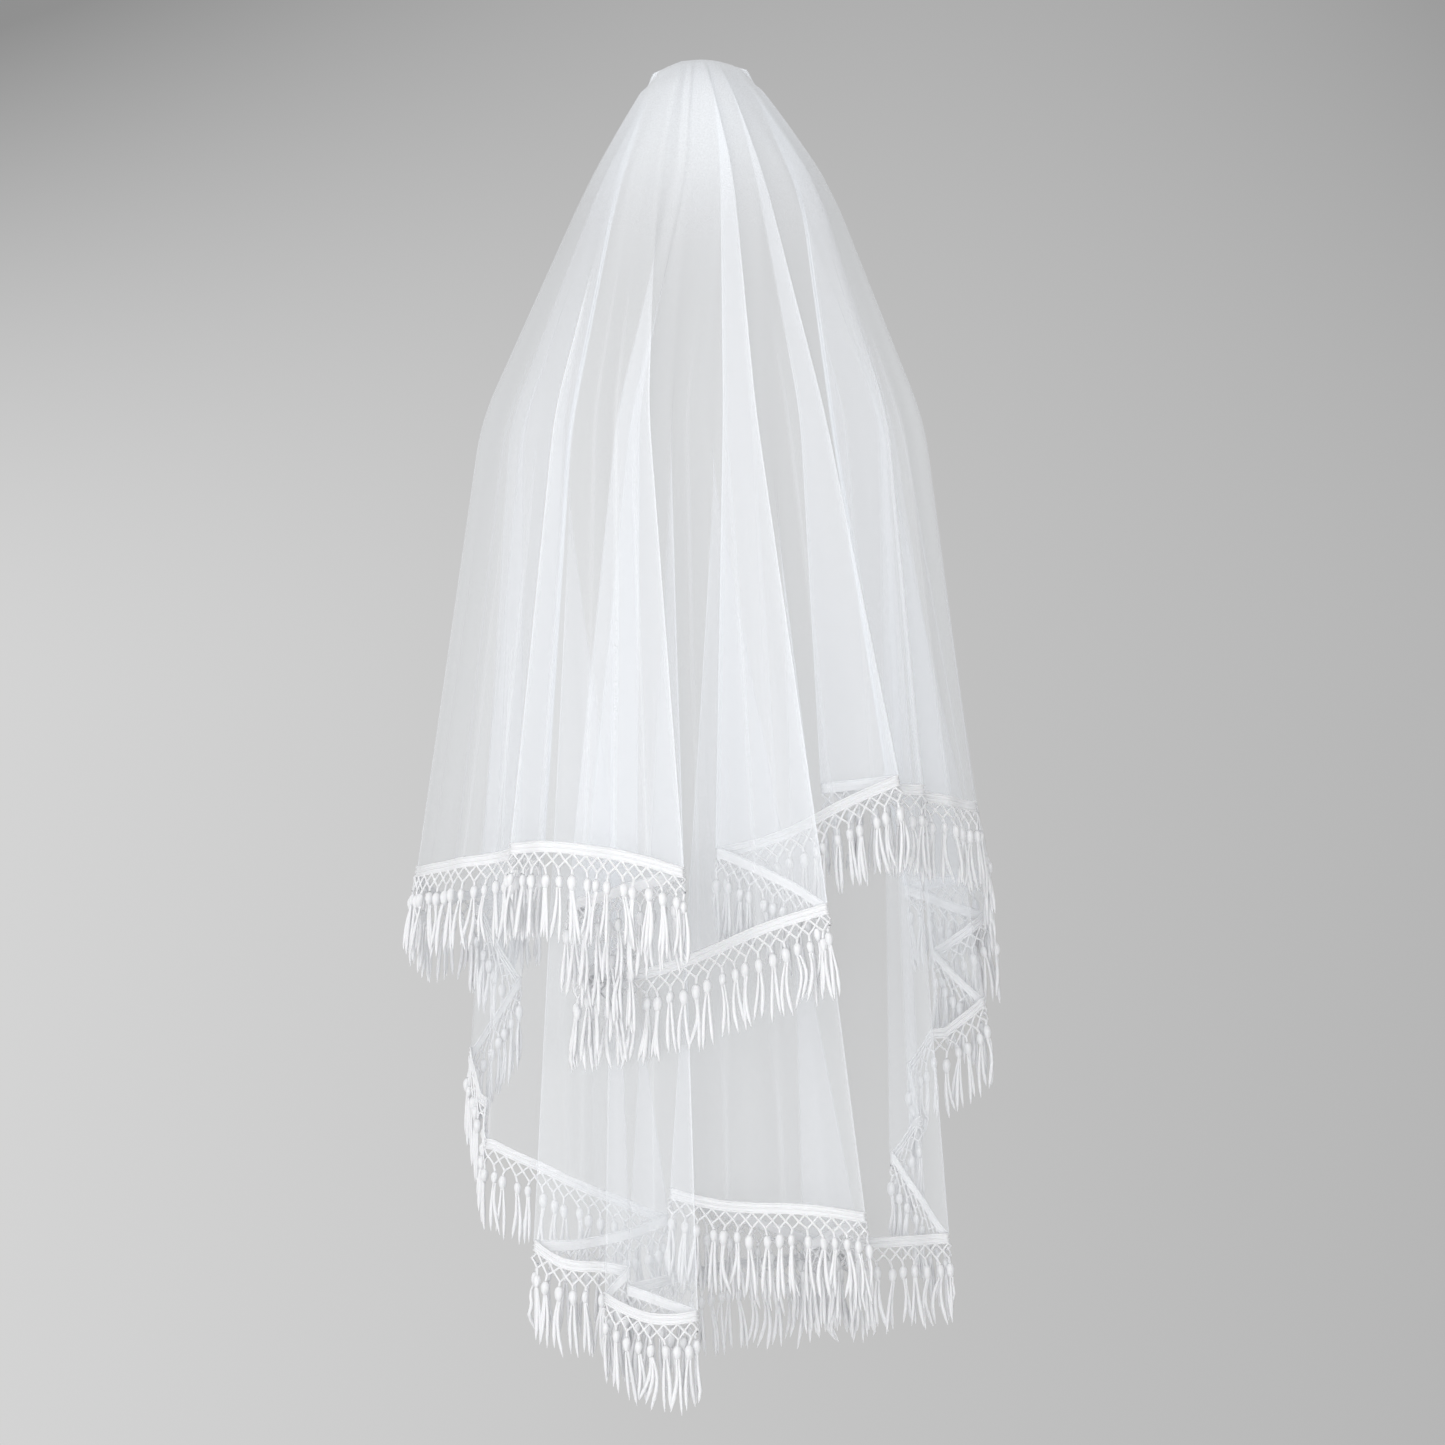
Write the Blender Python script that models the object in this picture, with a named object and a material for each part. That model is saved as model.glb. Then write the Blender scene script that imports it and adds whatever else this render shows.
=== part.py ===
"""Bridal veil of soft tulle in two tiers, each with a lattice and tassel trim along its hem.

One oval of tulle is folded over across the crown of the head. The shorter part lies on top (outer tier)
and the longer part hangs under it (inner tier). The fold runs down each side of the face as the plain
front edges, so the veil is open at the front and at the bottom.

Frame, in metres: the origin is the underside of the cloth on top of the head, +Z is up, -Y is the
wearer's back and +X the wearer's right-hand side seen from behind.

A tier is cut at every height by one line that runs from the left front edge round the back to the right
front edge. Its turning points are the fold lines. Each fold line is placed at the crown, on the head,
at the shoulders and at the hem, and is straight between them.
"""

import math

import bmesh
import bpy
import numpy as np

MM = 0.001

CLOTH_THICKNESS = 1.2 * MM
SAME_POINT = 0.001 * MM

# How far inside the outer tier's front edges the inner tier's lie.
TUCK = {"head": 2.8 * MM, "shoulder": 2.0 * MM, "hem": 1.6 * MM}

# The fold across the crown is nearly flat, and the head under it is rounded.
CROWN_HALF_WIDTH = {"outer": 44 * MM, "inner": 37 * MM}
CROWN_FOLD_Y = {"outer": 12 * MM, "inner": 10.4 * MM}
CROWN_Z = {"outer": 3.2 * MM, "inner": 0.6 * MM}
CROWN_DROP = {"left": 11 * MM, "right": 8 * MM}
CROWN_DROP_END = 0.25
DOME_SIDE_POWER = 0.9
HEAD_Z = -120 * MM
HEAD_X = 8 * MM
SHOULDER_Z = -340 * MM
HEAD_HALF_WIDTH = {"outer": 117 * MM, "inner": 104 * MM}
HEAD_BACK_DEPTH = {"outer": 103 * MM, "inner": 89 * MM}

# The rings, as shares of the way from one level to the next.
DOME_STEPS = (0.0, 0.08, 0.35, 1.0)
HEAD_TO_SHOULDER_STEPS = (0.33, 0.66, 1.0)
SHOULDER_TO_HEM_STEPS = (0.16, 0.4, 0.7, 1.0)

# A fold line is rounded over this length of cloth on each side of it, or less on a narrow panel.
FOLD_ROUNDING = 12 * MM
FOLD_ROUNDING_SHARE = 0.3
FOLD_TIP_PULL = 0.45
PANEL_COLUMN = 42 * MM

# The trim: a tape, then bars that meet in a point over each tassel, then the bead and its strands.
TRIM_GAP = 0.6 * MM
TRIM_THICKNESS = 1.2 * MM
TRIM_END = 9 * MM
TAPE_DEPTH = 8 * MM
BAR_HALF_WIDTH = 1.1 * MM
BAR_MEET_DEPTH = 23 * MM
BEAD_DEPTH = 30 * MM
BEAD_HALF_WIDTH = 3.4 * MM
STRAND_DEPTH = 87 * MM
STRAND_DEPTH_CHANGE = 4 * MM
STRAND_SWAY = 4.5 * MM
STRAND_SWAY_TURN = 2.4
STRAND_DEPTH_TURN = 1.7
TASSEL_PITCH = 22 * MM
SHORTEST_RUN = 0.6

# Fold lines of the outer tier, from the left front edge round the back to the right front edge.
# head_deg: angle round the head, 0 straight back. head_out: distance outside the ring, mm.
# shoulder x, y and hem x, y, z: mm. bow: how far the panel after the fold line swells at the hem, mm.
# sag: how far the middle of its hem hangs below the straight line between its ends, mm.
# lean: how much lower the first half of its hem is, and how much higher the second, mm.
OUTER_FOLDS = (
    # name, head_deg, head_out, shoulder_x, shoulder_y, hem_x, hem_y, hem_z, bow, sag, lean
    ("end_left", -128, 0, -128, 96, -159, 150, -784, 5, 0, 0),
    ("front_left", -104, 0, -192, 70, -245, 95, -794, 6, 0, 0),
    ("left", -80, 1, -210, 0, -271, 0, -765, 12, 0, 0),
    ("a_in", -58, -3, -122, -80, -140, -110, -740, 0, 0, 0),
    ("b_left", -46, 2, -134, -106, -171, -165, -737, 9, -9, 0),
    ("b_right", -22, 6, -44, -134, -11, -225, -756, 0, 0, 0),
    ("b_back", -16, -4, -78, -106, -122, -142, -789, 0, 0, 0),
    ("b_under", -12, -5, -52, -108, -53, -154, -822, 0, 0, 0),
    ("d_left", -8, -7, -66, -94, -116, -118, -858, 0, 8, 5),
    ("d_right", 12, 3, 54, -114, 118, -168, -791, 0, -5, 0),
    ("e_left", 5, -6, 20, -95, 13, -106, -743, 2, 4, 3),
    ("f_right", 27, 0, 118, -88, 187, -75, -677, 0, 0, 0),
    ("g_left", 22, -7, 91, -72, 111, -45, -685, 2, 0, 0),
    ("h_right", 56, 1, 178, -46, 212, -20, -687, 0, 0, 0),
    ("i_left", 63, -1, 172, -32, 206, 0, -693, 2, 0, 0),
    ("right", 82, 1, 215, 0, 266, 45, -704, 0, 0, 0),
    ("front_right", 106, 0, 198, 72, 277, 115, -774, 2, 0, 0),
    ("end_right", 128, 0, 130, 98, 203, 160, -790, 0, 0, 0),
)

# Fold lines of the inner tier, in the same order and with the same columns.
INNER_FOLDS = (
    ("end_left", -128, 0, -128, 96, -159, 150, -784, 0, 0, 0),
    ("front_left", -106, 0, -176, 66, -224, 95, -806, 0, 0, 0),
    ("in_left", -96, -2, -168, 44, -170, 70, -875, 0, 0, 0),
    ("left", -86, 1, -184, 26, -223, 35, -940, 3, 0, 0),
    ("left_low", -76, 0, -178, 8, -201, 10, -985, 2, 0, 0),
    ("left_back", -66, 1, -170, -12, -202, -15, -1022, 6, 0, 0),
    ("c_under", -54, -2, -132, -46, -26, -30, -1091, 0, 8, 0),
    ("c_left", -44, 2, -118, -66, -155, -98, -1105, 4, 6, 3),
    ("d_under", -35, -2, -92, -70, -60, -104, -1128, 0, 0, 0),
    ("d_left", -26, 1, -78, -82, -88, -128, -1148, 10, 8, 0),
    ("d_right", -12, 2, -26, -88, 1, -152, -1160, 0, 0, 0),
    ("d_back", -5, -1, -25, -74, -69, -112, -1144, 0, 0, 0),
    ("far_middle", 1, -3, -10, -64, 30, -12, -1136, 0, 0, 0),
    ("far_right", 6, -4, 4, -60, 158, 30, -1133, 0, 0, 0),
    ("e_left", 11, 1, 16, -80, -29, -100, -1057, 3, 2, 3),
    ("e_right", 27, 2, 60, -76, 155, -92, -1080, 0, 0, 0),
    ("e_under", 36, -2, 72, -64, 94, -35, -1116, 0, 0, 0),
    ("right_back", 46, 1, 177, -4, 240, 12, -1115, 0, 0, 0),
    ("right_in", 54, -1, 168, 6, 178, 30, -1040, 0, 0, 0),
    ("right_low", 62, 1, 180, 16, 215, 44, -1007, 0, 0, 0),
    ("right_in_low", 70, -1, 170, 24, 196, 58, -957, 0, 0, 0),
    ("right_mid", 78, 1, 182, 32, 230, 70, -925, 0, 0, 0),
    ("right_out", 88, 1, 188, 42, 280, 84, -896, 0, 0, 0),
    ("right_in_high", 97, -1, 176, 52, 221, 97, -850, 0, 0, 0),
    ("front_right", 108, 0, 180, 68, 286, 110, -815, 0, 0, 0),
    ("end_right", 128, 0, 130, 98, 203, 160, -790, 0, 0, 0),
)

TIER_FOLDS = {"outer": OUTER_FOLDS, "inner": INNER_FOLDS}


def fold_levels(tier):
    """Each fold line of a tier at the crown, on the head, at the shoulders and at the hem."""
    folds = TIER_FOLDS[tier]
    last = len(folds) - 1
    levels = []
    for index, fold in enumerate(folds):
        name, head_deg, head_out, shoulder_x, shoulder_y, hem_x, hem_y, hem_z, bow, sag, lean = fold
        is_end = index in (0, last)
        ring = "outer" if is_end else tier
        angle = math.radians(head_deg)
        radius_x = HEAD_HALF_WIDTH[ring] + head_out * MM
        radius_y = HEAD_BACK_DEPTH[ring] + head_out * MM
        across = 2.0 * index / last - 1.0
        levels.append({
            "crown": np.array([CROWN_HALF_WIDTH[tier] * across, CROWN_FOLD_Y[tier]]),
            "head": np.array([HEAD_X + radius_x * math.sin(angle), -radius_y * math.cos(angle)]),
            "shoulder": np.array([shoulder_x, shoulder_y]) * MM,
            "hem": np.array([hem_x, hem_y]) * MM,
            "hem_z": hem_z * MM,
            "bow": bow * MM,
            "sag": sag * MM,
            "lean": lean * MM,
        })
    if tier == "inner":
        tuck_ends(levels)
    return levels


def tuck_ends(levels):
    """The inner tier's front edges lie flat against the inside of the outer tier's."""
    for end, neighbour, turn in ((0, 1, 1.0), (-1, -2, -1.0)):
        for level in ("head", "shoulder", "hem"):
            edge = levels[end][level]
            along = levels[neighbour][level] - edge
            along = along / np.linalg.norm(along) * turn
            levels[end][level] = edge + TUCK[level] * np.array([-along[1], along[0]])


def fold_point(level, z):
    """Where one fold line passes the height z, at or below the head ring."""
    if z > SHOULDER_Z:
        share = (HEAD_Z - z) / (HEAD_Z - SHOULDER_Z)
        return level["head"] + share * (level["shoulder"] - level["head"])
    share = (SHOULDER_Z - z) / (SHOULDER_Z - level["hem_z"])
    return level["shoulder"] + share * (level["hem"] - level["shoulder"])


def dome_point(level, share):
    """Where one fold line passes a ring on the head, share of the way down to the head ring."""
    crown = level["crown"]
    head = level["head"]
    back = math.sqrt(max(0.0, 1.0 - (1.0 - share) ** 2))
    y_share = back if head[1] < crown[1] else share
    x = crown[0] + (head[0] - crown[0]) * share ** DOME_SIDE_POWER
    y = crown[1] + (head[1] - crown[1]) * y_share
    return np.array([x, y])


def outward(along):
    """The outside of a line that runs from left to right round the back."""
    length = math.hypot(along[0], along[1])
    return np.array([along[1], -along[0]]) / length


def panel_counts(levels):
    """How many columns each panel between two fold lines has inside it."""
    counts = []
    for first, second in zip(levels[:-1], levels[1:]):
        length = np.linalg.norm(second["hem"] - first["hem"])
        inside = length - 2.0 * FOLD_ROUNDING
        counts.append(max(0, round(inside / PANEL_COLUMN) - 1) if inside > PANEL_COLUMN else 0)
    return counts


def column_places(levels):
    """The columns of a tier as (panel, share, kind), from the left front edge to the right one."""
    counts = panel_counts(levels)
    last_panel = len(counts) - 1
    places = [(0, 0.0, "end")]
    for panel, count in enumerate(counts):
        if panel > 0:
            places.append((panel, 0.0, "after"))
        for step in range(count):
            places.append((panel, (step + 1.0) / (count + 1.0), "inside"))
        if panel < last_panel:
            places.append((panel, 1.0, "before"))
            places.append((panel, 1.0, "tip"))
    places.append((last_panel, 1.0, "end"))
    return places


def rounding_share(first, second):
    """Share of a panel's width that is taken by the rounding of one fold line."""
    width = np.linalg.norm(second - first)
    return min(FOLD_ROUNDING / width, FOLD_ROUNDING_SHARE)


def share_on_panel(place, cut):
    """Where a column lies across its panel, which gives up a share at each side to the roundings."""
    panel, share, kind = place
    if kind == "after":
        return cut
    if kind == "before":
        return 1.0 - cut
    if kind == "inside":
        return cut + (1.0 - 2.0 * cut) * share
    return share


def section_point(points, levels, place, bow_share):
    """One point of a section whose fold lines are at the given points."""
    panel, share, kind = place
    first = points[panel]
    second = points[panel + 1]
    along = second - first
    cut = rounding_share(first, second)
    share = share_on_panel(place, cut)
    if kind == "tip":
        third = points[panel + 2]
        before = second - along * cut
        after = second + (third - second) * rounding_share(second, third)
        middle = (before + after) / 2.0
        return second + FOLD_TIP_PULL * (middle - second)
    swell = levels[panel]["bow"] * bow_share * 4.0 * share * (1.0 - share)
    return first + along * share + outward(along) * swell


def hem_height(levels, place):
    """Height of the hem at one column."""
    panel, share, kind = place
    first = levels[panel]
    second = levels[panel + 1]
    share = share_on_panel(place, rounding_share(first["hem"], second["hem"]))
    straight = first["hem_z"] + (second["hem_z"] - first["hem_z"]) * share
    sag = first["sag"] * 4.0 * share * (1.0 - share)
    return straight - sag - first["lean"] * math.sin(2.0 * math.pi * share)


def tier_grid(tier):
    """The middle of the cloth of one tier, as rings from the crown to the hem."""
    levels = fold_levels(tier)
    places = column_places(levels)
    crown_z = CROWN_Z[tier]
    rows = []
    for share in DOME_STEPS:
        points = [dome_point(level, share) for level in levels]
        near_crown = max(0.0, 1.0 - share / CROWN_DROP_END)
        row = []
        for place in places:
            x, y = section_point(points, levels, place, 0.0)
            side = "left" if x < 0.0 else "right"
            drop = (x / CROWN_HALF_WIDTH["outer"]) ** 2 * CROWN_DROP[side] * near_crown
            row.append((x, y, crown_z * (1.0 - share) + HEAD_Z * share - drop))
        rows.append(row)
    for share in HEAD_TO_SHOULDER_STEPS:
        z = HEAD_Z + (SHOULDER_Z - HEAD_Z) * share
        points = [fold_point(level, z) for level in levels]
        row = []
        for place in places:
            x, y = section_point(points, levels, place, 0.0)
            row.append((x, y, z))
        rows.append(row)
    for share in SHOULDER_TO_HEM_STEPS:
        row = []
        for place in places:
            z = SHOULDER_Z + (hem_height(levels, place) - SHOULDER_Z) * share
            points = [fold_point(level, z) for level in levels]
            x, y = section_point(points, levels, place, share)
            row.append((x, y, z))
        rows.append(row)
    return np.array(rows), places


def direction_at_points(points, axis):
    """The way a line runs at each of its points, midway between the ways to and from it."""
    steps = np.diff(points, axis=axis)
    steps = steps / np.linalg.norm(steps, axis=-1, keepdims=True)
    first = np.take(steps, [0], axis=axis)
    last = np.take(steps, [-1], axis=axis)
    return np.concatenate([first, steps], axis=axis) + np.concatenate([steps, last], axis=axis)


def level_normals(points):
    """The outside of a ring at each of its points, level with the ground."""
    across = direction_at_points(points[:, :2], 0)
    normals = np.stack([across[:, 1], -across[:, 0], np.zeros(len(across))], axis=1)
    return normals / np.linalg.norm(normals, axis=1, keepdims=True)


def grid_normals(grid):
    """The outside of the cloth at every point of a grid, level from the head ring down."""
    across = direction_at_points(grid, 1)
    down = direction_at_points(grid, 0)
    normals = np.cross(down, across)
    normals /= np.linalg.norm(normals, axis=2, keepdims=True)
    for row in range(len(DOME_STEPS) - 1, len(grid)):
        normals[row] = level_normals(grid[row])
    return normals


def add_object(name, vertices, faces):
    """A closed body with its faces turned outward."""
    mesh = bpy.data.meshes.new(name)
    mesh.from_pydata([tuple(v) for v in vertices], [], faces)
    mesh.update()
    shape = bmesh.new()
    shape.from_mesh(mesh)
    bmesh.ops.triangulate(shape, faces=shape.faces[:])
    bmesh.ops.recalc_face_normals(shape, faces=shape.faces[:])
    if shape.calc_volume(signed=True) < 0.0:
        bmesh.ops.reverse_faces(shape, faces=shape.faces[:])
    shape.to_mesh(mesh)
    shape.free()
    thing = bpy.data.objects.new(name, mesh)
    bpy.context.scene.collection.objects.link(thing)
    return thing


def build_cloth(name, grid):
    """A cloth wall of even thickness round the middle grid."""
    normals = grid_normals(grid)
    outside = grid + normals * CLOTH_THICKNESS / 2.0
    inside = grid - normals * CLOTH_THICKNESS / 2.0
    rows, columns = grid.shape[:2]
    vertices = np.concatenate([outside.reshape(-1, 3), inside.reshape(-1, 3)])
    back = rows * columns

    def at(row, column, side):
        return side * back + row * columns + column

    faces = []
    for row in range(rows - 1):
        for column in range(columns - 1):
            faces.append((at(row, column, 0), at(row + 1, column, 0),
                          at(row + 1, column + 1, 0), at(row, column + 1, 0)))
            faces.append((at(row, column, 1), at(row, column + 1, 1),
                          at(row + 1, column + 1, 1), at(row + 1, column, 1)))
    for column in range(columns - 1):
        faces.append((at(0, column, 0), at(0, column + 1, 0), at(0, column + 1, 1), at(0, column, 1)))
        faces.append((at(rows - 1, column, 0), at(rows - 1, column, 1),
                      at(rows - 1, column + 1, 1), at(rows - 1, column + 1, 0)))
    for row in range(rows - 1):
        faces.append((at(row, 0, 0), at(row, 0, 1), at(row + 1, 0, 1), at(row + 1, 0, 0)))
        faces.append((at(row, columns - 1, 0), at(row + 1, columns - 1, 0),
                      at(row + 1, columns - 1, 1), at(row, columns - 1, 1)))
    return add_object(name, vertices, faces)


class HemLine:
    """The hem as a line that can be asked for a point and its outside at any distance along it."""

    def __init__(self, grid):
        points = grid[-1]
        fall = grid[-1] - grid[-2]
        self.points = points
        self.spread = fall[:, :2] / -fall[:, 2:]
        steps = np.diff(points[:, :2], axis=0)
        self.distances = np.concatenate([[0.0], np.cumsum(np.linalg.norm(steps, axis=1))])
        self.normals = level_normals(points)
        self.length = self.distances[-1]

    def along(self, distance, values):
        """Values that belong to the columns, read at a distance along the hem."""
        count = values.shape[1]
        return np.array([np.interp(distance, self.distances, values[:, axis]) for axis in range(count)])

    def at(self, distance, depth):
        """A point under the hem, which spreads on with the slope of the cloth, and its outside."""
        point = self.along(distance, self.points)
        point[:2] += self.along(distance, self.spread) * depth
        point[2] -= depth
        normal = self.along(distance, self.normals)
        return point, normal / np.linalg.norm(normal)


class TrimPattern:
    """The flat trim as polygons of (distance along the hem, depth below it)."""

    def __init__(self):
        self.corners = []
        self.index = {}
        self.polygons = []

    def corner(self, distance, depth):
        """The number of a corner, the same one for the same place."""
        key = (round(distance / SAME_POINT), round(depth / SAME_POINT))
        if key not in self.index:
            self.index[key] = len(self.corners)
            self.corners.append((distance, depth))
        return self.index[key]

    def add(self, *corners):
        """A polygon, always turned the same way round."""
        polygon = [self.corner(*place) for place in corners]
        area = 0.0
        for first, second in zip(corners, corners[1:] + corners[:1]):
            area += first[0] * second[1] - second[0] * first[1]
        if area < 0.0:
            polygon.reverse()
        self.polygons.append(polygon)


def straight_runs(hem, places):
    """The stretches of hem between the roundings of its fold lines."""
    runs = []
    start = TRIM_END
    for column, (panel, share, kind) in enumerate(places):
        distance = hem.distances[column]
        if kind == "before":
            runs.append((start, distance))
        elif kind == "after":
            start = distance
    runs.append((start, hem.length - TRIM_END))
    return runs


def tassel(pattern, centre, number):
    """The point where the bars meet, the bead and the strands of one tassel."""
    sway = STRAND_SWAY * math.sin(STRAND_SWAY_TURN * number)
    drop = STRAND_DEPTH + STRAND_DEPTH_CHANGE * math.sin(STRAND_DEPTH_TURN * number)
    left = (centre - BAR_HALF_WIDTH, BAR_MEET_DEPTH)
    right = (centre + BAR_HALF_WIDTH, BAR_MEET_DEPTH)
    peak = (centre, BAR_MEET_DEPTH - 2.0 * BAR_HALF_WIDTH)
    bead_left = (centre - BEAD_HALF_WIDTH, BEAD_DEPTH)
    bead_right = (centre + BEAD_HALF_WIDTH, BEAD_DEPTH)
    tip = (centre + sway, drop)
    pattern.add(left, peak, right)
    pattern.add(left, right, bead_right, bead_left)
    pattern.add(bead_left, bead_right, tip)
    return left, peak, right


def trim_pattern(hem, places):
    """The whole flat trim of one hem."""
    pattern = TrimPattern()
    runs = straight_runs(hem, places)
    width = 2.0 * BAR_HALF_WIDTH
    tape_breaks = {TRIM_END, hem.length - TRIM_END}
    feet = []
    number = 0
    for start, stop in runs:
        count = int(round((stop - start) / TASSEL_PITCH))
        if count == 0 and stop - start > SHORTEST_RUN * TASSEL_PITCH:
            count = 1
        for cell in range(count):
            left_edge = start + (stop - start) * cell / count
            right_edge = start + (stop - start) * (cell + 1) / count
            centre = (left_edge + right_edge) / 2.0
            low_left, peak, low_right = tassel(pattern, centre, number)
            number += 1
            if cell == 0:
                base = [(left_edge, TAPE_DEPTH), (left_edge + width, TAPE_DEPTH)]
                feet.append((left_edge, left_edge + width))
            else:
                base = [(left_edge, TAPE_DEPTH + width), (left_edge + BAR_HALF_WIDTH, TAPE_DEPTH)]
            pattern.add(base[0], low_left, peak, base[1])
            tape_breaks.add(base[1][0])
            if cell == count - 1:
                base = [(right_edge - width, TAPE_DEPTH), (right_edge, TAPE_DEPTH)]
                feet.append((right_edge - width, right_edge))
            else:
                base = [(right_edge - BAR_HALF_WIDTH, TAPE_DEPTH), (right_edge, TAPE_DEPTH + width)]
                tape_breaks.add(right_edge + BAR_HALF_WIDTH)
                feet.append((right_edge - BAR_HALF_WIDTH, right_edge + BAR_HALF_WIDTH))
                pattern.add(base[0], base[1], (right_edge + BAR_HALF_WIDTH, TAPE_DEPTH))
            pattern.add(base[0], peak, low_right, base[1])
            tape_breaks.add(base[0][0])
    for distance in hem.distances:
        inside_ends = TRIM_END < distance < hem.length - TRIM_END
        under_foot = any(left + SAME_POINT < distance < right - SAME_POINT for left, right in feet)
        if inside_ends and not under_foot:
            tape_breaks.add(distance)
    breaks = merge_close(sorted(tape_breaks))
    for left, right in zip(breaks[:-1], breaks[1:]):
        pattern.add((left, TRIM_GAP), (left, TAPE_DEPTH), (right, TAPE_DEPTH), (right, TRIM_GAP))
    return pattern


def merge_close(values):
    """Values in order, without repeats that differ only by rounding."""
    kept = [values[0]]
    for value in values[1:]:
        if value - kept[-1] > SAME_POINT:
            kept.append(value)
    return kept


def build_trim(name, grid, places):
    """The trim as one thin body, with the pattern's holes cut through it."""
    hem = HemLine(grid)
    pattern = trim_pattern(hem, places)
    outside = []
    inside = []
    for distance, depth in pattern.corners:
        point, normal = hem.at(distance, depth)
        outside.append(point + normal * TRIM_THICKNESS / 2.0)
        inside.append(point - normal * TRIM_THICKNESS / 2.0)
    back = len(outside)
    faces = []
    edges = {}
    for polygon in pattern.polygons:
        faces.append(tuple(polygon))
        faces.append(tuple(back + corner for corner in reversed(polygon)))
        for first, second in zip(polygon, polygon[1:] + polygon[:1]):
            edges[(first, second)] = edges.get((first, second), 0) + 1
    for first, second in edges:
        if (second, first) not in edges:
            faces.append((first, back + first, back + second, second))
    return add_object(name, outside + inside, faces)


def main():
    cube = bpy.data.objects.get("Cube")
    if cube is not None:
        bpy.data.objects.remove(cube)
    for tier in ("outer", "inner"):
        grid, places = tier_grid(tier)
        build_cloth(tier + "_tier", grid)
        build_trim(tier + "_fringe", grid, places)


main()
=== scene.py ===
"""Looks of a two-tier bridal veil: sheer tulle shells, the fold that joins them and two tassel trims.

Frame, in metres: the origin is the underside of the cloth on top of the head, +Z is up, -Y is the
wearer's back and +X the wearer's right-hand side seen from behind. A tier is cut at every height by one
line that runs from the left front edge round the back to the right front edge.
"""

import math

import bpy
import numpy as np
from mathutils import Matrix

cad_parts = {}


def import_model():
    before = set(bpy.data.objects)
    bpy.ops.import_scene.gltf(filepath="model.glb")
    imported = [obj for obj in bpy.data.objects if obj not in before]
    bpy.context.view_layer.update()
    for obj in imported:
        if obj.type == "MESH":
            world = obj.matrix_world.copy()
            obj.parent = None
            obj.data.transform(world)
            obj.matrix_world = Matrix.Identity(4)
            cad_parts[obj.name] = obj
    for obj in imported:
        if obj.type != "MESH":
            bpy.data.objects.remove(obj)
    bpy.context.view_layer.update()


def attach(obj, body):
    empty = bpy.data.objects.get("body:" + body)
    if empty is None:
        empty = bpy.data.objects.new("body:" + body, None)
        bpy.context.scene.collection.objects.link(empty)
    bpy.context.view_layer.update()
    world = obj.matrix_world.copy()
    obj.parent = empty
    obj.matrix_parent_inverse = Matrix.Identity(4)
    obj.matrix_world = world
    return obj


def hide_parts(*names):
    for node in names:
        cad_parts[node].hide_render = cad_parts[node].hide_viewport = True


MM = 0.001

# The photo's view: level, from behind the wearer, with one photo pixel 0.95 mm wide at the crown.
PHOTO_SIDE = 1445
PIXEL_AT_CROWN = 0.95 * MM
CAMERA_DISTANCE = 3.2
CAMERA_X = 21.4 * MM
CAMERA_Z = -627 * MM
SENSOR_WIDTH = 36.0

FLOOR_Z = -1.72
FLOOR_RADIUS = 2.0
FLOOR_FADE_FROM = 0.8

# The backdrop, which also lights the scene: its brightness level with the camera and its fall from left to right,
# which is painted light, lighter on the left and darker to the right. Towards the top it falls off in the
# middle, turns its slope, and falls off more in the corners, which is painted shade.
BACKDROP_LEVEL = 0.563
BACKDROP_PAINTED_SIDE_SHADE = -0.454
BACKDROP_PAINTED_TOP_SHADE = -3.1
BACKDROP_PAINTED_TOP_TURN = 15.7
BACKDROP_PAINTED_CORNER_SHADE = -78.0
BACKDROP_TOP = 0.215
BACKDROP_SIDE = 0.21
BACKDROP_DARKEST = 0.28

LAMPS = (
    # name, place, size in metres, watts
    ("key", (-2.4, -2.8, 0.2), 2.4, 46.0),
    ("fill", (2.6, -2.6, -0.6), 2.4, 28.0),
    ("by_camera", (-0.4, -3.9, -1.2), 2.0, 42.0),
    ("above", (-0.5, -1.4, 1.9), 1.6, 16.0),
    ("front_left", (-1.6, 3.0, 0.3), 2.4, 18.0),
    ("front_right", (1.2, 3.0, 1.3), 2.6, 20.0),
)

# The levels of the drape. The fold across the crown is nearly flat, and the head under it is rounded.
CROWN_HALF_WIDTH = {"outer": 44 * MM, "inner": 37 * MM}
CROWN_FOLD_Y = {"outer": 12 * MM, "inner": 10.4 * MM}
CROWN_Z = {"outer": 3.2 * MM, "inner": 0.6 * MM}
CROWN_DROP = {"left": 11 * MM, "right": 8 * MM}
CROWN_DROP_END = 0.25
DOME_SIDE_POWER = 0.9
HEAD_Z = -120 * MM
HEAD_X = 8 * MM
SHOULDER_Z = -340 * MM
HEAD_HALF_WIDTH = {"outer": 117 * MM, "inner": 104 * MM}
HEAD_BACK_DEPTH = {"outer": 103 * MM, "inner": 89 * MM}
TUCK = {"head": 2.8 * MM, "shoulder": 2.0 * MM, "hem": 1.6 * MM}
LEVEL_BLEND = 28 * MM
LEVEL_BLEND_STEPS = (-1.0, -0.67, -0.33, 0.0, 0.33, 0.67, 1.0)

# Rows of the fine shells in each stretch from the crown down, and the width of their columns at the hem.
DOME_ROWS = 26
HEAD_ROWS = 34
BODY_ROWS = 84
COLUMN_WIDTH = 4.6 * MM
TIP_COLUMNS = 7
LARGEST_CUT = 0.42

# Soft waves of the cloth between the folds: length and height at the hem, and where in the wave it starts.
RIPPLES = (
    # length_mm, height_mm, phase
    (118, 1.4, 0.4),
    (71, 0.8, 2.1),
    (43, 0.3, 4.4),
)
RIPPLE_WANDER = 0.9
RIPPLE_CLEAR = 16 * MM

# Gathers where the cloth is drawn together over the crown.
GATHERS = {"outer": 9, "inner": 7}
GATHER_HEIGHT = 0.9 * MM
GATHER_FROM = 0.03
GATHER_END = 0.30

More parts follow.
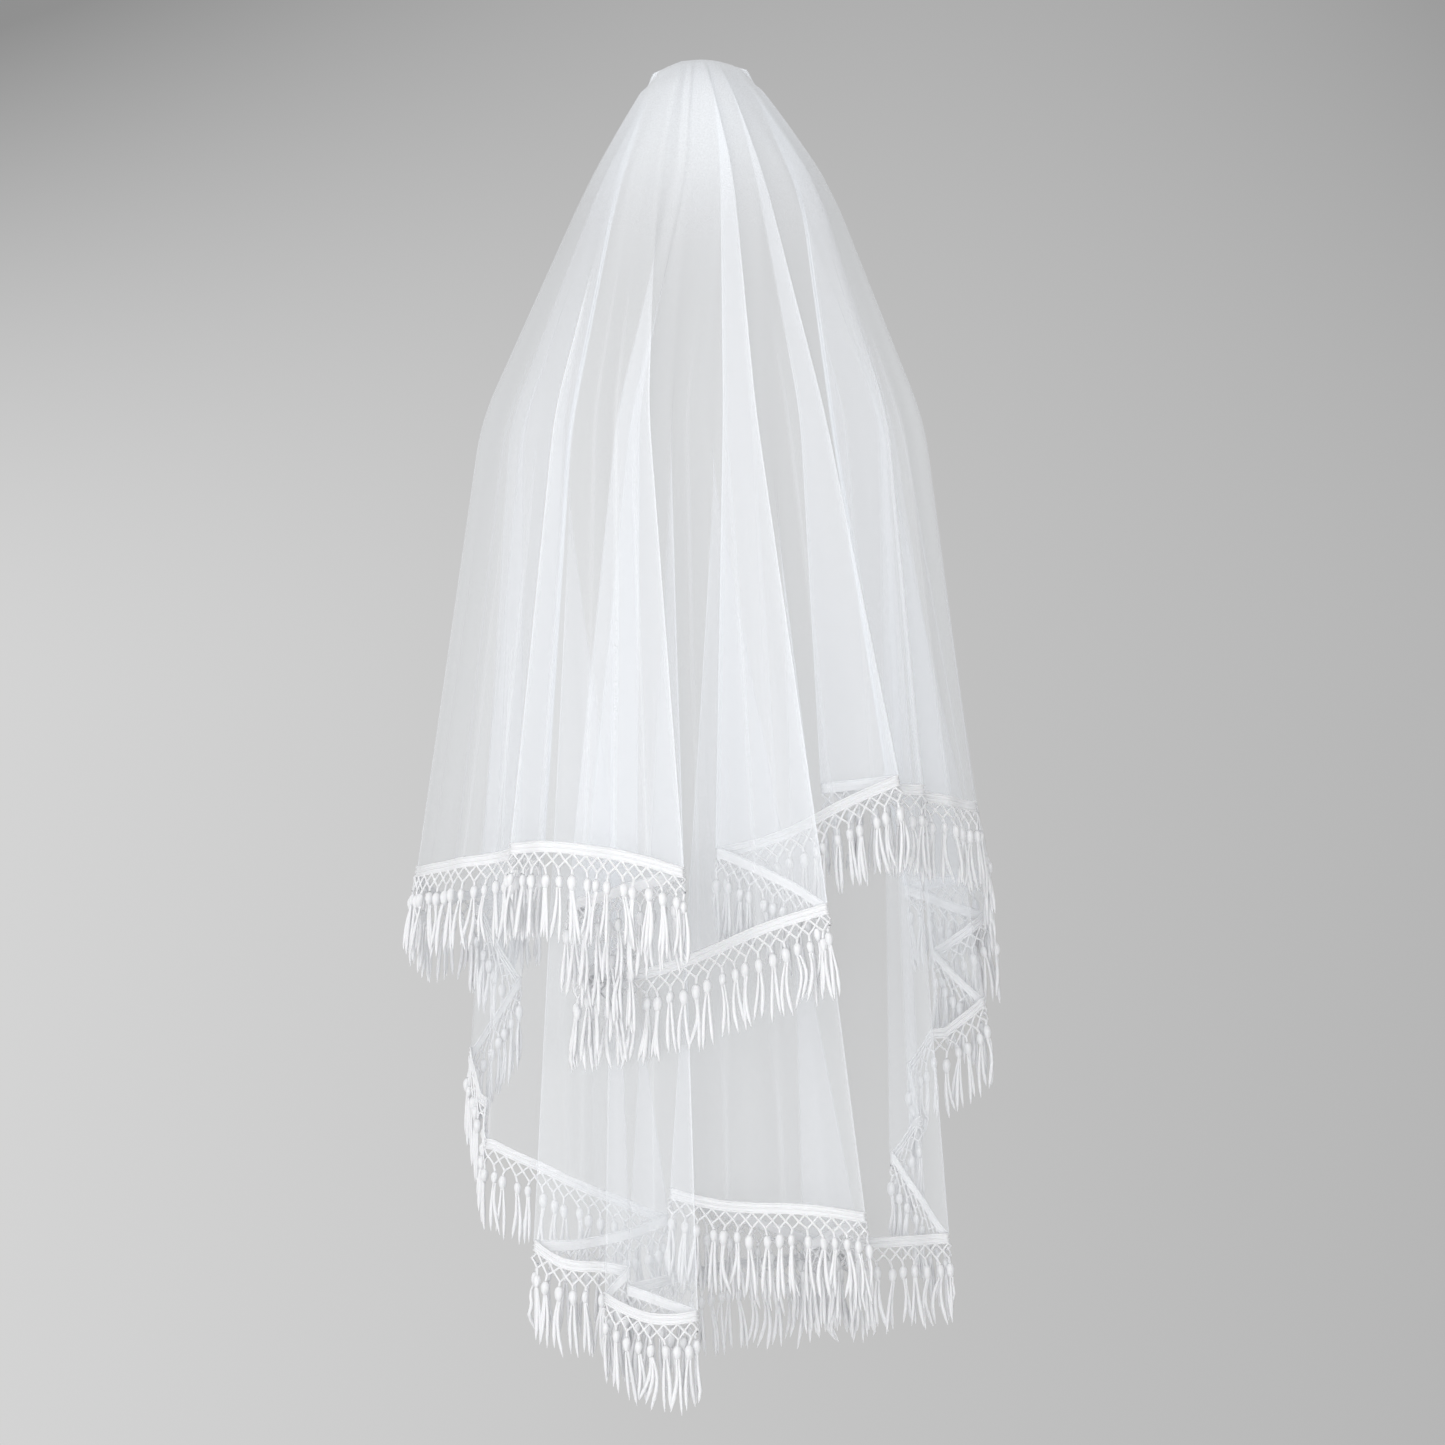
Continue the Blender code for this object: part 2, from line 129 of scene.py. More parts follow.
# A fold shows as a thin white line with a faint glow round it. Near the crown the lines are thinner.
LINE_REACH = 2.2 * MM
LINE_GLOW = 7.0 * MM
LINE_GAIN = 0.60
GLOW_GAIN = 0.07
LINE_FULL_FROM = 0.35
LINE_THINNEST = 0.3
LINE_FADE_IN = 0.10

# The net of the tulle: how much of the view one layer covers, its cells and its faint lengthwise streaks.
SHEERNESS = {"outer": 0.175, "inner": 0.13}
NET_CELL = 1.1 * MM
NET_CONTRAST = 0.25
STREAKS_ACROSS = 45.0
STREAKS_DOWN = 0.8
STREAK_CONTRAST = 0.025
TULLE_COLOUR = (0.935, 0.96, 0.995)

# The cloth is drawn together at the crown, so that it covers more there.
CROWN_COVER = 0.34
CROWN_COVER_END = 0.22

# How white the fold between the tiers shows on the crown and down the sides.
EDGE_WHITE = {"crown": 0.1, "side": 0.5}
EDGE_CROWN_END = 60 * MM

# Fold lines of the outer tier, from the left front edge round the back to the right front edge.
# head_deg: angle round the head, 0 straight back. head_out: distance outside the ring, mm.
# shoulder x, y and hem x, y, z: mm. bow: how far the panel after the fold line swells at the hem, mm.
# sag: how far the middle of its hem hangs below the straight line between its ends, mm.
# lean: how much lower the first half of its hem is, and how much higher the second, mm.
# round: length of cloth at each side of the fold line that its bend takes, mm. line: how white it shows.
# from: share of the drape, crown to hem, where it begins to show.
OUTER_FOLDS = (
    # name, head_deg, head_out, shoulder_x, shoulder_y, hem_x, hem_y, hem_z, bow, sag, lean, round, line, from
    ("end_left", -128, 0, -128, 96, -159, 150, -784, 5, 0, 0, 4, 0.9, 0.05),
    ("front_left", -104, 0, -192, 70, -245, 95, -794, 6, 0, 0, 14, 0.15, 0.3),
    ("left", -80, 1, -210, 0, -271, 0, -765, 12, 0, 0, 10, 0.25, 0.12),
    ("a_in", -58, -3, -122, -80, -140, -110, -740, 0, 0, 0, 7, 0.15, 0.3),
    ("b_left", -46, 2, -134, -106, -171, -165, -737, 9, -9, 0, 4, 0.8, 0.26),
    ("b_right", -22, 6, -44, -134, -11, -225, -756, 0, 0, 0, 4, 0.95, 0.3),
    ("b_back", -16, -4, -78, -106, -122, -142, -789, 0, 0, 0, 6, 0.25, 0.4),
    ("b_under", -12, -5, -52, -108, -53, -154, -822, 0, 0, 0, 6, 0.3, 0.3),
    ("d_left", -8, -7, -66, -94, -116, -118, -858, 0, 8, 5, 7, 0.2, 0.3),
    ("d_right", 12, 3, 54, -114, 118, -168, -791, 0, -5, 0, 4, 0.9, 0.12),
    ("e_left", 5, -6, 20, -95, 13, -106, -743, 2, 4, 3, 4, 1.0, 0.03),
    ("f_right", 27, 0, 118, -88, 187, -75, -677, 0, 0, 0, 4, 0.95, 0.14),
    ("g_left", 22, -7, 91, -72, 111, -45, -685, 2, 0, 0, 5, 0.8, 0.36),
    ("h_right", 56, 1, 178, -46, 212, -20, -687, 0, 0, 0, 5, 0.75, 0.36),
    ("i_left", 63, -1, 172, -32, 206, 0, -693, 2, 0, 0, 6, 0.6, 0.42),
    ("right", 82, 1, 215, 0, 266, 45, -704, 0, 0, 0, 9, 0.3, 0.1),
    ("front_right", 106, 0, 198, 72, 277, 115, -774, 2, 0, 0, 12, 0.2, 0.3),
    ("end_right", 128, 0, 130, 98, 203, 160, -790, 0, 0, 0, 4, 0.9, 0.05),
)

# Fold lines of the inner tier, in the same order and with the same columns.
INNER_FOLDS = (
    ("end_left", -128, 0, -128, 96, -159, 150, -784, 0, 0, 0, 4, 0.6, 0.05),
    ("front_left", -106, 0, -176, 66, -224, 95, -806, 0, 0, 0, 9, 0.25, 0.3),
    ("in_left", -96, -2, -168, 44, -170, 70, -875, 0, 0, 0, 7, 0.2, 0.5),
    ("left", -86, 1, -184, 26, -223, 35, -940, 3, 0, 0, 7, 0.3, 0.45),
    ("left_low", -76, 0, -178, 8, -201, 10, -985, 2, 0, 0, 8, 0.12, 0.5),
    ("left_back", -66, 1, -170, -12, -202, -15, -1022, 6, 0, 0, 7, 0.3, 0.5),
    ("c_under", -54, -2, -132, -46, -26, -30, -1091, 0, 8, 0, 7, 0.2, 0.55),
    ("c_left", -44, 2, -118, -66, -155, -98, -1105, 4, 6, 3, 5, 0.55, 0.4),
    ("d_under", -35, -2, -92, -70, -60, -104, -1128, 0, 0, 0, 6, 0.25, 0.5),
    ("d_left", -26, 1, -78, -82, -88, -128, -1148, 10, 8, 0, 5, 0.5, 0.45),
    ("d_right", -12, 2, -26, -88, 1, -152, -1160, 0, 0, 0, 4, 0.9, 0.3),
    ("d_back", -5, -1, -25, -74, -69, -112, -1144, 0, 0, 0, 6, 0.25, 0.5),
    ("far_middle", 1, -3, -10, -64, 30, -12, -1136, 0, 0, 0, 9, 0.1, 0.5),
    ("far_right", 6, -4, 4, -60, 158, 30, -1133, 0, 0, 0, 6, 0.2, 0.5),
    ("e_left", 11, 1, 16, -80, -29, -100, -1057, 3, 2, 3, 5, 0.5, 0.4),
    ("e_right", 27, 2, 60, -76, 155, -92, -1080, 0, 0, 0, 4, 0.9, 0.4),
    ("e_under", 36, -2, 72, -64, 94, -35, -1116, 0, 0, 0, 7, 0.15, 0.5),
    ("right_back", 46, 1, 177, -4, 240, 12, -1115, 0, 0, 0, 5, 0.8, 0.45),
    ("right_in", 54, -1, 168, 6, 178, 30, -1040, 0, 0, 0, 7, 0.25, 0.5),
    ("right_low", 62, 1, 180, 16, 215, 44, -1007, 0, 0, 0, 7, 0.3, 0.5),
    ("right_in_low", 70, -1, 170, 24, 196, 58, -957, 0, 0, 0, 7, 0.2, 0.5),
    ("right_mid", 78, 1, 182, 32, 230, 70, -925, 0, 0, 0, 7, 0.3, 0.5),
    ("right_out", 88, 1, 188, 42, 280, 84, -896, 0, 0, 0, 7, 0.4, 0.45),
    ("right_in_high", 97, -1, 176, 52, 221, 97, -850, 0, 0, 0, 7, 0.2, 0.5),
    ("front_right", 108, 0, 180, 68, 286, 110, -815, 0, 0, 0, 9, 0.4, 0.4),
    ("end_right", 128, 0, 130, 98, 203, 160, -790, 0, 0, 0, 4, 0.6, 0.05),
)

TIER_FOLDS = {"outer": OUTER_FOLDS, "inner": INNER_FOLDS}

# Soft creases inside the panels. across: share of the way over the panel that starts at the fold line.
# start: share of the drape, crown to hem, where it begins. height and width: mm at the hem, below 0 for a
# trough. line: how white it shows.
OUTER_CREASES = (
    # fold, across, start, height, width, line
    ("left", 0.42, 0.45, 2.6, 11, 0.16),
    ("left", 0.66, 0.35, -3.0, 13, 0.20),
    ("b_left", 0.20, 0.25, 2.8, 12, 0.16),
    ("b_left", 0.43, 0.12, -2.2, 12, 0.11),
    ("b_left", 0.64, 0.20, 2.6, 13, 0.18),
    ("b_left", 0.84, 0.35, 2.0, 10, 0.16),
    ("d_left", 0.45, 0.20, 2.4, 13, 0.11),
    ("d_left", 0.74, 0.30, 2.6, 13, 0.14),
    ("e_left", 0.30, 0.15, 2.4, 13, 0.14),
    ("e_left", 0.62, 0.25, -2.6, 14, 0.14),
    ("g_left", 0.50, 0.25, 2.2, 12, 0.14),
    ("i_left", 0.45, 0.30, 2.6, 12, 0.14),
    ("right", 0.40, 0.40, 2.4, 14, 0.09),
    ("front_left", 0.45, 0.40, -2.4, 14, 0.09),
)
INNER_CREASES = (
    ("left_back", 0.45, 0.50, 2.2, 13, 0.11),
    ("c_left", 0.50, 0.40, 2.4, 12, 0.16),
    ("d_left", 0.55, 0.40, 2.4, 12, 0.14),
    ("far_middle", 0.45, 0.50, -2.2, 13, 0.09),
    ("e_left", 0.28, 0.35, 2.6, 13, 0.14),
    ("e_left", 0.58, 0.40, -2.4, 13, 0.11),
    ("e_left", 0.82, 0.45, 2.2, 12, 0.14),
    ("right_back", 0.50, 0.45, 2.0, 12, 0.14),
    ("c_under", 0.50, 0.50, 2.0, 13, 0.09),
)
TIER_CREASES = {"outer": OUTER_CREASES, "inner": INNER_CREASES}

# The trim, as depths below the hem: a tape with three raised cords, two rows of diamonds, then the tassels.
TAPE_TOP = -1.2 * MM
TAPE_BOTTOM = 8.2 * MM
TAPE_STEP = 3.0 * MM
TAPE_OUT = 0.9 * MM
TAPE_CORDS = ((-0.6 * MM, 0.95 * MM), (3.6 * MM, 0.85 * MM), (7.8 * MM, 0.95 * MM))
LATTICE_PITCH = 12.2 * MM
LATTICE_ROWS = 2
LATTICE_ROW_DEPTH = 6.9 * MM
LATTICE_JITTER = {"along": 0.5 * MM, "depth": 0.3 * MM}
LATTICE_RADIUS = 1.1 * MM
KNOT_RADIUS = 1.35 * MM
STEM_LENGTH = 5.0 * MM
BEAD_HALF_LENGTH = 6.6 * MM
BEAD_RADIUS = 4.2 * MM
STRAND_LENGTH = 48 * MM
STRAND_RADIUS = 2.0 * MM
STRAND_SPREAD = {"least": 1.8 * MM, "most": 3.8 * MM}
STRAND_SWAY = {"tassel": 2.6 * MM, "own": 0.9 * MM}
STRAND_BEND = 1.4 * MM
STRAND_OUT = 2.6 * MM
HANG_SHARE = 0.45
TRIM_SEED = {"outer": 11, "inner": 23}


def tier_levels(tier):
    """The fold lines of a tier as arrays: where each is at the crown, head, shoulders and hem, in metres."""
    rows = np.array([fold[1:] for fold in TIER_FOLDS[tier]], float)
    count = len(rows)
    ring = np.array([tier] * count)
    ring[[0, -1]] = "outer"
    angle = np.radians(rows[:, 0])
    radius_x = np.array([HEAD_HALF_WIDTH[name] for name in ring]) + rows[:, 1] * MM
    radius_y = np.array([HEAD_BACK_DEPTH[name] for name in ring]) + rows[:, 1] * MM
    across = np.linspace(-1.0, 1.0, count)
    levels = {
        "crown": np.stack([CROWN_HALF_WIDTH[tier] * across, np.full(count, CROWN_FOLD_Y[tier])], axis=1),
        "head": np.stack([HEAD_X + radius_x * np.sin(angle), -radius_y * np.cos(angle)], axis=1),
        "shoulder": rows[:, 2:4] * MM,
        "hem": rows[:, 4:6] * MM,
        "hem_z": rows[:, 6] * MM,
        "bow": rows[:, 7] * MM,
        "sag": rows[:, 8] * MM,
        "lean": rows[:, 9] * MM,
        "round": rows[:, 10] * MM,
        "line": rows[:, 11],
        "from": rows[:, 12],
    }
    if tier == "inner":
        tuck_ends(levels)
    return levels


def tuck_ends(levels):
    """The inner tier's front edges lie flat against the inside of the outer tier's."""
    for end, neighbour, turn in ((0, 1, 1.0), (-1, -2, -1.0)):
        for level in ("head", "shoulder", "hem"):
            edge = levels[level][end]
            along = levels[level][neighbour] - edge
            along = along / np.linalg.norm(along) * turn
            levels[level][end] = edge + TUCK[level] * np.array([-along[1], along[0]])


def fold_xy(levels, fold, z):
    """Where the fold lines pass the heights z. fold has one index for each column of z."""
    crown, head, shoulder, hem = (levels[name][fold] for name in ("crown", "head", "shoulder", "hem"))
    hem_z = levels["hem_z"][fold]
    to_shoulder = np.clip((HEAD_Z - z) / (HEAD_Z - SHOULDER_Z), 0.0, 1.0)[..., None]
    to_hem = np.maximum(0.0, (SHOULDER_Z - z) / (SHOULDER_Z - hem_z))[..., None]
    below = head + (shoulder - head) * to_shoulder + (hem - shoulder) * to_hem
    share = np.clip(z / HEAD_Z, 0.0, 1.0)
    back = np.sqrt(np.maximum(0.0, 1.0 - (1.0 - share) ** 2))
    y_share = np.where(head[:, 1] < crown[:, 1], back, share)
    dome = np.stack([
        crown[:, 0] + (head[:, 0] - crown[:, 0]) * share ** DOME_SIDE_POWER,
        crown[:, 1] + (head[:, 1] - crown[:, 1]) * y_share,
    ], axis=-1)
    return np.where((z > HEAD_Z)[..., None], dome, below)


def blended_fold_xy(levels, fold, z):
    """The same with the corners at the head ring and at the shoulders eased."""
    reach = LEVEL_BLEND * np.clip((HEAD_Z / 2.0 - z) / (-HEAD_Z / 2.0), 0.0, 1.0)
    total = 0.0
    for step in LEVEL_BLEND_STEPS:
        total = total + fold_xy(levels, fold, z + reach * step)
    return total / len(LEVEL_BLEND_STEPS)


def shell_columns(levels):
    """The columns of a fine shell: those inside the panels by share, those in the bends by turn."""
    hem = levels["hem"]
    widths = np.linalg.norm(np.diff(hem, axis=0), axis=1)
    columns = []
    for panel, width in enumerate(widths):
        count = max(3, int(round(width / COLUMN_WIDTH)))
        first = 0.0 if panel == 0 else 0.5 / count
        last = 1.0 if panel == len(widths) - 1 else 1.0 - 0.5 / count
        for share in np.linspace(first, last, count):
            columns.append((panel, share, 0.0, False))
        if panel < len(widths) - 1:
            for step in range(TIP_COLUMNS):
                columns.append((panel, 1.0, (step + 0.5) / TIP_COLUMNS, True))
    panel, share, turn, is_bend = zip(*columns)
    return np.array(panel), np.array(share), np.array(turn), np.array(is_bend)


def shell_heights(levels, panel, share):
    """Heights of all rows at each column, and how far down the drape each row is."""
    dome = np.linspace(0.0, 1.0, DOME_ROWS + 1) ** 1.5
    head = np.linspace(0.0, 1.0, HEAD_ROWS + 1)[1:]
    body = np.linspace(0.0, 1.0, BODY_ROWS + 1)[1:]
    first = levels["hem_z"][panel]
    hem_z = first + (levels["hem_z"][panel + 1] - first) * share
    hem_z = hem_z - levels["sag"][panel] * 4.0 * share * (1.0 - share)
    hem_z = hem_z - levels["lean"][panel] * np.sin(2.0 * math.pi * share)
    ones = np.ones(len(panel))
    z = np.concatenate([
        np.outer(HEAD_Z * dome, ones),
        np.outer(HEAD_Z + (SHOULDER_Z - HEAD_Z) * head, ones),
        SHOULDER_Z + np.outer(body, hem_z - SHOULDER_Z),
    ])
    down = np.concatenate([
        np.outer(HEAD_Z * dome, 1.0 / hem_z),
        np.outer(HEAD_Z + (SHOULDER_Z - HEAD_Z) * head, 1.0 / hem_z),
        (SHOULDER_Z + np.outer(body, hem_z - SHOULDER_Z)) / hem_z,
    ])
    return z, down, hem_z


def smooth_step(value):
    value = np.clip(value, 0.0, 1.0)
    return value * value * (3.0 - 2.0 * value)


def shell_grid(tier):
    """The fine surface of one tier as a grid of points, and what its columns and rows are."""
    levels = tier_levels(tier)
    panel, share, turn, is_bend = shell_columns(levels)
    z, down, hem_z = shell_heights(levels, panel, share)
    first = blended_fold_xy(levels, panel, z)
    second = blended_fold_xy(levels, panel + 1, z)
    third = blended_fold_xy(levels, np.minimum(panel + 2, len(levels["hem_z"]) - 1), z)
    width = np.linalg.norm(second - first, axis=2)
    next_width = np.linalg.norm(third - second, axis=2)
    last_fold = len(levels["hem_z"]) - 1

    def cut(fold, across):
        """Share of a panel that one of its bends takes. The ends of the tier have no bend."""
        taken = np.where((fold == 0) | (fold == last_fold), 0.0, levels["round"][fold])
        return np.minimum(taken / np.maximum(across, 1e-6), LARGEST_CUT)

    cut_first = cut(panel, width)
    cut_second = cut(panel + 1, width)
    cut_next = cut(panel + 1, next_width)
    along = cut_first + (1.0 - cut_first - cut_second) * share
    straight = first + (second - first) * along[..., None]
    swell_way = np.stack([(second - first)[..., 1], -(second - first)[..., 0]], axis=2) / width[..., None]
    body_share = np.clip((SHOULDER_Z - z) / (SHOULDER_Z - hem_z), 0.0, 1.0)
    swell = levels["bow"][panel] * body_share * 4.0 * along * (1.0 - along)
    straight = straight + swell_way * swell[..., None]
    before = second + (first - second) * cut_second[..., None]
    after = second + (third - second) * cut_next[..., None]
    turned = turn[None, :, None]
    bend = (1.0 - turned) ** 2 * before + 2.0 * turned * (1.0 - turned) * second + turned ** 2 * after
    xy = np.where(is_bend[None, :, None], bend, straight)

    height = z.copy()
    dome_share = np.clip(z / HEAD_Z, 0.0, 1.0)
    in_dome = dome_share < 1.0
    near_crown = np.maximum(0.0, 1.0 - dome_share / CROWN_DROP_END)
    end_drop = np.where(xy[..., 0] < 0.0, CROWN_DROP["left"], CROWN_DROP["right"])
    drop = (xy[..., 0] / CROWN_HALF_WIDTH["outer"]) ** 2 * end_drop * near_crown
    height = np.where(in_dome, CROWN_Z[tier] * (1.0 - dome_share) + z - drop, height)
    grid = np.concatenate([xy, height[..., None]], axis=2)
    bend_length = cut_second * width + cut_next * next_width
    to_first = np.where(is_bend, width, along * width)
    to_second = np.where(is_bend, np.abs(turn - 0.5) * bend_length, (1.0 - along) * width)
    return {
        "grid": grid, "levels": levels, "panel": panel, "share": share, "is_bend": is_bend,
        "down": down, "tier": tier, "width": width, "to_first": to_first, "to_second": to_second,
    }


def unit(vectors):
    return vectors / np.maximum(np.linalg.norm(vectors, axis=-1, keepdims=True), 1e-9)


def midway_direction(points, axis):
    """The way a line of points runs at each of them, midway between the ways to it and from it."""
    steps = unit(np.diff(points, axis=axis))
    first = np.take(steps, [0], axis=axis)
    last = np.take(steps, [-1], axis=axis)
    return np.concatenate([first, steps], axis=axis) + np.concatenate([steps, last], axis=axis)


def surface_normals(grid):
    return unit(np.cross(midway_direction(grid, 0), midway_direction(grid, 1)))


def hem_distances(grid):
    steps = np.linalg.norm(np.diff(grid[-1], axis=0), axis=1)
    return np.concatenate([[0.0], np.cumsum(steps)])


def add_relief(shell):
    """Moves the plain shell by its ripples, listed creases and the gathers at the crown."""
    grid = shell["grid"]
    tier = shell["tier"]
    down = shell["down"]
    panel = shell["panel"]
    share = shell["share"]
    levels = shell["levels"]
    along = hem_distances(grid)
    normals = surface_normals(grid)
    width = np.linalg.norm(np.diff(levels["hem"], axis=0), axis=1)[panel]
    to_fold = np.minimum(share, 1.0 - share) * width
    to_fold[shell["is_bend"]] = 0.0
    clear = smooth_step(to_fold / RIPPLE_CLEAR)
    growth = smooth_step((down - 0.12) / 0.5) * (0.25 + 0.75 * down)

    relief = np.zeros(grid.shape[:2])
    for length, height, phase in RIPPLES:
        wander = RIPPLE_WANDER * np.sin(5.3 * along / (length * MM) / (2.0 + phase) + 3.1 * down + phase)
        wave = np.sin(2.0 * math.pi * along / (length * MM) + wander + phase)
        relief += height * MM * wave * growth * clear

    lines = NearestLine(shell)
    names = [fold[0] for fold in TIER_FOLDS[tier]]
    for name, across, start, height, half_width, white in TIER_CREASES[tier]:
        inside = (panel == names.index(name)) & ~shell["is_bend"]
        drift = across + 0.02 * np.sin(4.0 * down + 9.0 * across)
        distance = (share - drift) * width / (half_width * MM)
        grown = smooth_step((down - start) / 0.35)
        shape = np.exp(-distance ** 2) * inside * grown
        relief += height * MM * shape * clear
        lines.add(white * inside * grown, np.abs(share - drift) * shell["width"])

    crown = shell["grid"][0, :, 0] / CROWN_HALF_WIDTH[tier]
    gather_phase = math.pi * GATHERS[tier] * (crown + 0.05 * np.sin(7.0 * crown + 1.0))
    fade = smooth_step(1.0 - down / GATHER_END) * smooth_step(down / GATHER_FROM)
    ends = smooth_step((1.0 - np.abs(crown)) / 0.08)
    relief += GATHER_HEIGHT * np.sin(gather_phase) * fade * ends * (0.6 + 0.4 * np.sin(3.0 * crown + 2.0))

    near_end = np.minimum(along, along[-1] - along)
    relief *= smooth_step(near_end / (18 * MM))
    shell["grid"] = grid + normals * relief[..., None]
    shell["line"] = lines.white
    shell["gap"] = lines.gap
    shell["gathered"] = CROWN_COVER * smooth_step(1.0 - down / CROWN_COVER_END)
    shell["along"] = along
    return shell


class NearestLine:
    """For each point of a shell the white line that counts most there, and how far off that line is."""

    def __init__(self, shell):
        levels = shell["levels"]
        down = shell["down"]
        last = len(levels["hem_z"]) - 1
        self.scale = np.clip(down / LINE_FULL_FROM, LINE_THINNEST, 1.0)
        self.white = np.zeros(down.shape)
        self.gap = np.full(down.shape, 1.0)
        for fold, distance in ((shell["panel"], shell["to_first"]), (shell["panel"] + 1, shell["to_second"])):
            fold = np.clip(fold, 0, last)
            shown = smooth_step((down - levels["from"][fold]) / LINE_FADE_IN)
            self.add(levels["line"][fold] * shown, distance)

    def add(self, white, distance):
        gap = distance / self.scale
        stronger = white * np.exp(-(gap / LINE_GLOW) ** 2) > self.white * np.exp(-(self.gap / LINE_GLOW) ** 2)
        self.white = np.where(stronger, white, self.white)
        self.gap = np.where(stronger, gap, self.gap)


def add_mesh(name, vertices, faces, material, smooth=True):
    mesh = bpy.data.meshes.new(name)
    mesh.from_pydata(np.asarray(vertices).tolist(), [], np.asarray(faces).tolist())
    mesh.update()
    mesh.polygons.foreach_set("use_smooth", [smooth] * len(mesh.polygons))
    mesh.materials.append(material)
    thing = bpy.data.objects.new(name, mesh)
    bpy.context.scene.collection.objects.link(thing)
    return thing


def grid_faces(rows, columns):
    index = np.arange(rows * columns).reshape(rows, columns)
    return np.stack([
        index[:-1, :-1].ravel(), index[1:, :-1].ravel(), index[1:, 1:].ravel(), index[:-1, 1:].ravel(),
    ], axis=1)


def build_shell(name, shell, material):
    """A sheer shell with its flat-cloth coordinates as a UV map and its white lines as attributes."""
    grid = shell["grid"]
    rows, columns = grid.shape[:2]
    thing = add_mesh(name, grid.reshape(-1, 3), grid_faces(rows, columns), material)
    mesh = thing.data
    for name in ("line", "gap", "gathered"):
        values = mesh.attributes.new(name, "FLOAT", "POINT")
        values.data.foreach_set("value", shell[name].ravel().astype(np.float32))
    across = np.broadcast_to(shell["along"], (rows, columns))
    flat = np.stack([across, shell["down"]], axis=2).reshape(-1, 2)
    corner = np.empty(len(mesh.loops), dtype=np.int64)
    mesh.loops.foreach_get("vertex_index", corner)
    layer = mesh.uv_layers.new(name="flat")
    layer.data.foreach_set("uv", flat[corner].astype(np.float32).ravel())
    return thing


class HemLine:
    """The hem, which can be asked for points of the trim under it."""

    def __init__(self, grid):
        self.points = grid[-1]
        fall = grid[-1] - grid[-6]
        self.spread = fall[:, :2] / -fall[:, 2:]
        self.distances = hem_distances(grid)
        self.length = self.distances[-1]
        level = midway_direction(self.points[:, :2], 0)
        self.normals = unit(np.stack([level[:, 1], -level[:, 0], np.zeros(len(level))], axis=1))

    def read(self, distance, values):
        return np.stack([np.interp(distance, self.distances, values[:, axis])
                         for axis in range(values.shape[1])], axis=-1)

    def at(self, distance, depth, out=0.0, hang_from=None):
        """Points at a distance along the hem, a depth under it and a distance out of the cloth."""
        distance = np.asarray(distance, float)
        depth = np.asarray(depth, float)
        point = self.read(distance, self.points)
        run = depth
        if hang_from is not None:
            run = np.minimum(depth, hang_from) + np.maximum(0.0, depth - hang_from) * HANG_SHARE
        point[..., :2] += self.read(distance, self.spread) * run[..., None]
        point[..., 2] -= depth
        return point + unit(self.read(distance, self.normals)) * np.asarray(out, float)[..., None]


class Yarns:
    """Collects tubes, beads and strips into one mesh."""

    def __init__(self):
        self.vertices = []
        self.faces = []
        self.count = 0

    def add(self, vertices, faces):
        self.vertices.append(vertices)
        self.faces.append(faces + self.count)
        self.count += len(vertices)

    def tube(self, path, radii, sides=5, squash=1.0):
        """A tube along a path, closed at both ends by its thin tips."""
        path = np.asarray(path, float)
        way = unit(midway_direction(path, 0))
        side = unit(np.cross(way, np.array([0.31, -0.27, 0.91])))
        over = np.cross(way, side)
        angle = np.arange(sides) * 2.0 * math.pi / sides
        ring = side[:, None] * np.cos(angle)[None, :, None] + over[:, None] * np.sin(angle)[None, :, None] * squash
        vertices = path[:, None] + ring * np.asarray(radii, float)[:, None, None]
        self.add(vertices.reshape(-1, 3), ring_faces(len(path), sides))


def ring_faces(rings, sides):
    index = np.arange(rings * sides).reshape(rings, sides)
    following = np.roll(index, -1, axis=1)
    return np.stack([
        index[:-1].ravel(), following[:-1].ravel(), following[1:].ravel(), index[1:].ravel(),
    ], axis=1)


def add_tape(yarns, hem):
    """The woven tape: a thin band and the three raised cords on it."""
    steps = int(hem.length / TAPE_STEP)
    along = np.linspace(0.0, hem.length, steps + 1)
    ones = np.ones(len(along))
    for depth, radius in TAPE_CORDS:
        path = hem.at(along, ones * depth, ones * TAPE_OUT)
        plait = 1.0 + 0.10 * np.sin(along / (1.9 * MM))
        yarns.tube(path, radius * plait, sides=6)
    depths = np.linspace(TAPE_TOP, TAPE_BOTTOM, 4)
    band = np.stack([hem.at(along, ones * depth, ones * TAPE_OUT * 0.35) for depth in depths])
    yarns.add(band.reshape(-1, 3), grid_faces(len(depths), len(along)))


def lattice_nodes(hem, chance):
    """Distances and depths of the lattice's crossings, row by row, shifted a little as yarn does."""
    count = int(round(hem.length / LATTICE_PITCH))
    pitch = hem.length / count
    rows = LATTICE_ROWS + 1
    distance = np.zeros((rows, 2 * count + 1))
    depth = np.zeros((rows, 2 * count + 1))
    half = np.arange(2 * count + 1) * pitch / 2.0
    for row in range(rows):
        loose = row / LATTICE_ROWS
        distance[row] = half + chance.normal(0.0, LATTICE_JITTER["along"] * loose, len(half))
        low = chance.normal(0.0, LATTICE_JITTER["depth"] * loose, len(half))
        depth[row] = TAPE_BOTTOM + LATTICE_ROW_DEPTH * row + low
    return count, np.clip(distance, 0.0, hem.length), depth


